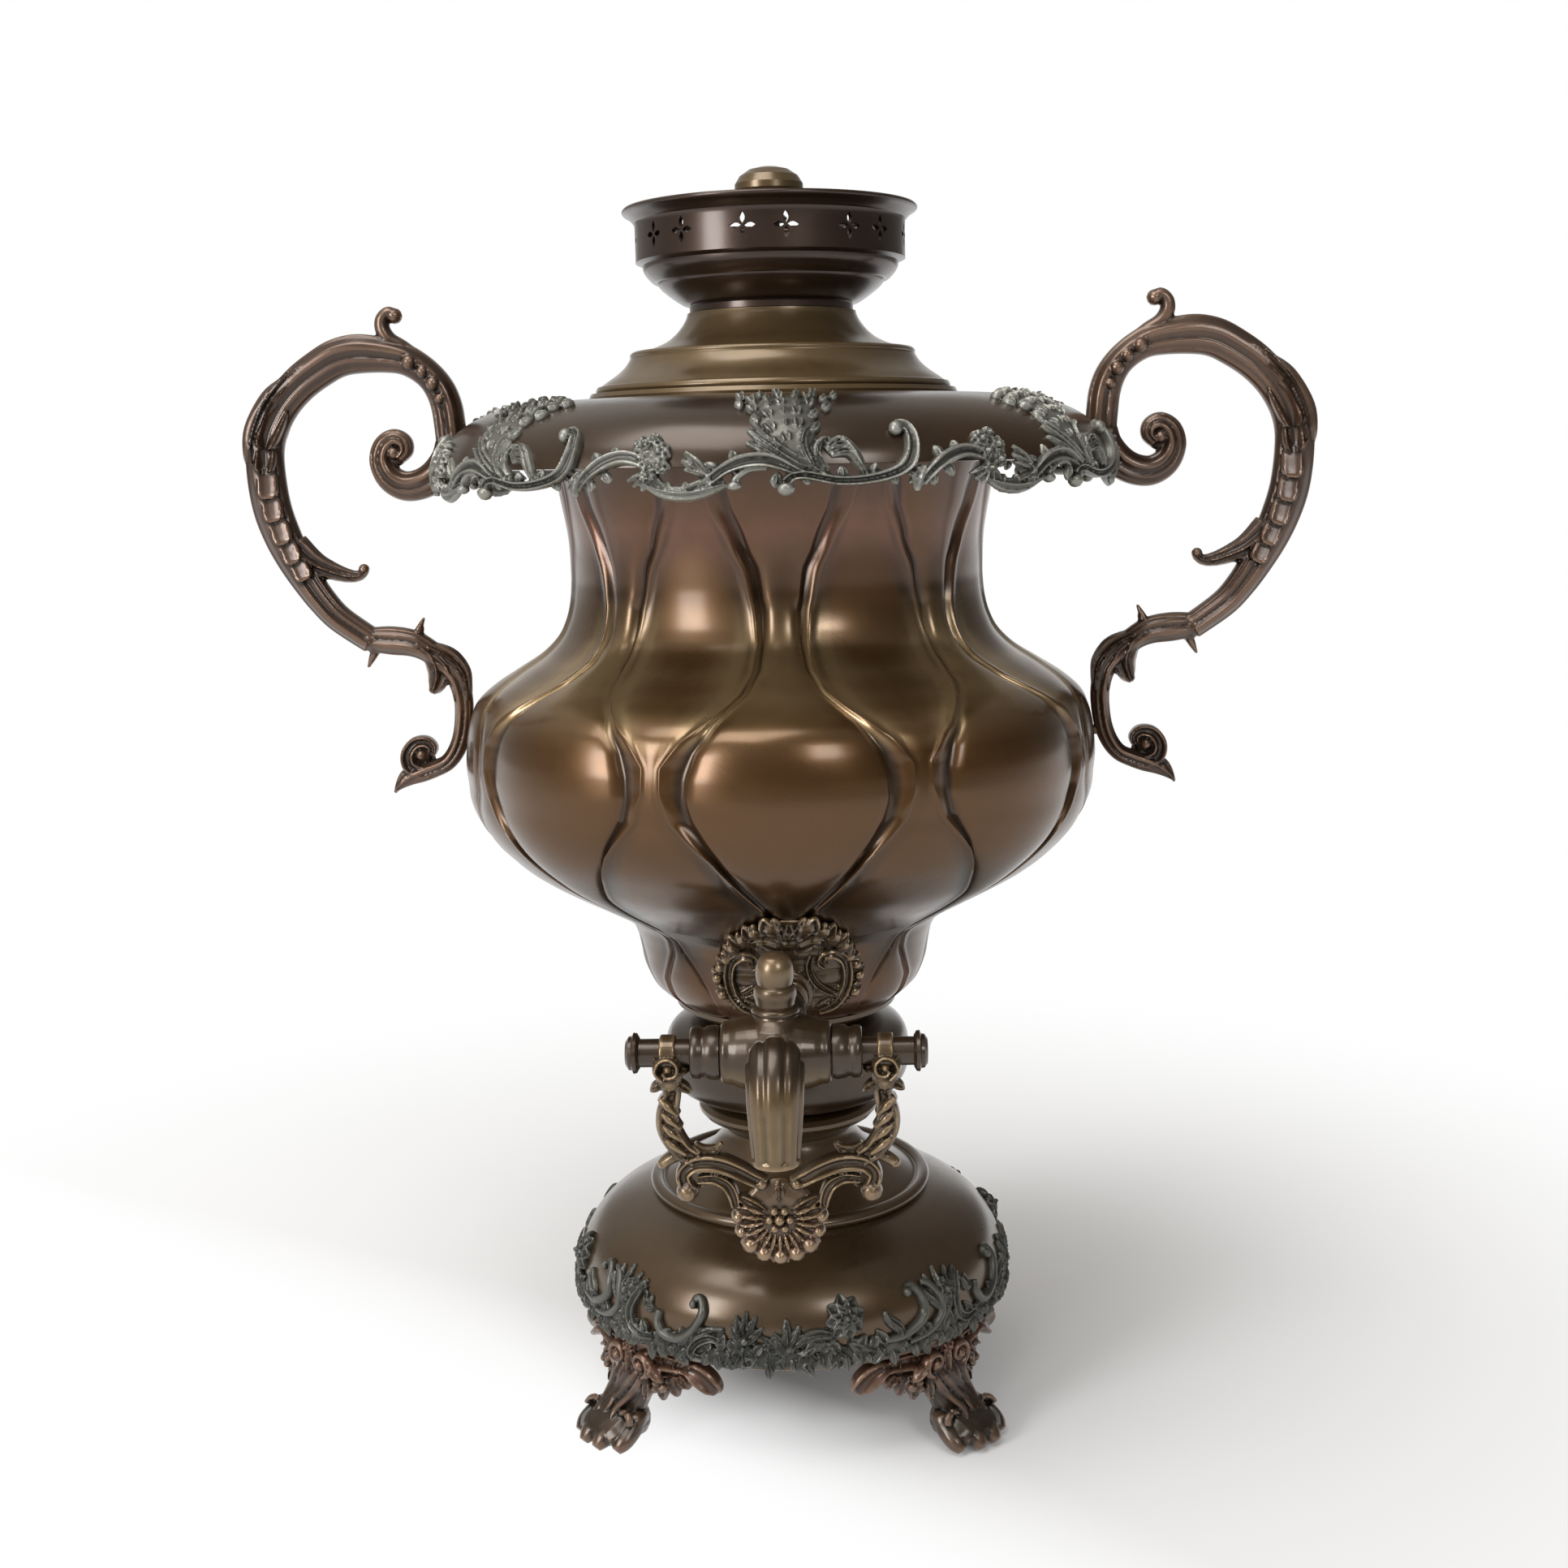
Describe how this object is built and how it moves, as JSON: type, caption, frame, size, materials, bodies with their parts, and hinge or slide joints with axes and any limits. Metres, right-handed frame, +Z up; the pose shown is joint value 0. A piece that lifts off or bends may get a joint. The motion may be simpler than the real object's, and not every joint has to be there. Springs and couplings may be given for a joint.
{
  "type": "charcoal samovar",
  "caption": "Charcoal samovar: lobed urn with a central flue on a footed base, with scroll handles, lift-off lid, teapot crown, damper cap and a turning tap.",
  "frame": {"origin": "on the urn's axis, at the level of the soles of the feet", "axes": "+Z up along the urn's axis, -Y towards the tap, X across the handles"},
  "size_m": [0.432, 0.276, 0.508],
  "materials": {
    "feet": "cast, red-brown patina",
    "fittings": "plain, darkened",
    "base": "spun, dark brown patina, satin",
    "border": "cast, grey-green patina",
    "urn": "olive-brown patina, polished satin",
    "brim": "olive-brown patina, polished satin",
    "crown": "dark red-brown patina, satin",
    "handle": "cast, grey-brown patina, worn ridges",
    "tap": "cast, worn bright on the ridges",
    "tap_trim": "cast, brown patina, worn ridges"
  },
  "bodies": {
    "urn": {"foot_front_right": "feet", "foot_front_left": "feet", "foot_back_left": "feet", "foot_back_right": "feet", "foot_screws": "fittings", "base_ring": "fittings", "grate": "fittings", "body_floor": "fittings", "fire_tube": "fittings", "handle_screws": "fittings", "shank_nut": "fittings", "shank_washer": "fittings", "base_dome": "base", "neck_ring": "base", "air_collar": "base", "collar_ring": "base", "base_apron": "border", "brim_border": "border", "body_shell": "urn", "brim": "brim", "seat_ring": "brim", "handle_right": "handle", "handle_left": "handle", "tap_body": "tap", "tap_finial": "tap", "tap_plate": "tap_trim"},
    "lid": {"lid": "brim"},
    "crown": {"crown": "crown"},
    "cap": {"cap": "crown", "cap_knob": "crown", "cap_screw": "fittings"},
    "tap_key": {"tap_plug": "tap", "plug_collars": "tap", "plug_ends": "tap", "tap_bail": "tap_trim"}
  },
  "joints": [
    {"name": "lid_lift", "type": "slide", "parent": "urn", "child": "lid", "axis": [0, 0, 1], "range_m": [0, 0.07]},
    {"name": "crown_lift", "type": "slide", "parent": "lid", "child": "crown", "axis": [0, 0, 1], "range_m": [0, 0.06]},
    {"name": "cap_lift", "type": "slide", "parent": "crown", "child": "cap", "axis": [0, 0, 1], "range_m": [0, 0.06]},
    {"name": "tap_turn", "type": "hinge", "parent": "urn", "child": "tap_key", "pos_m": [0, -0.105, 0.179], "axis": [-1, 0, 0], "range_deg": [0, 90]}
  ]
}
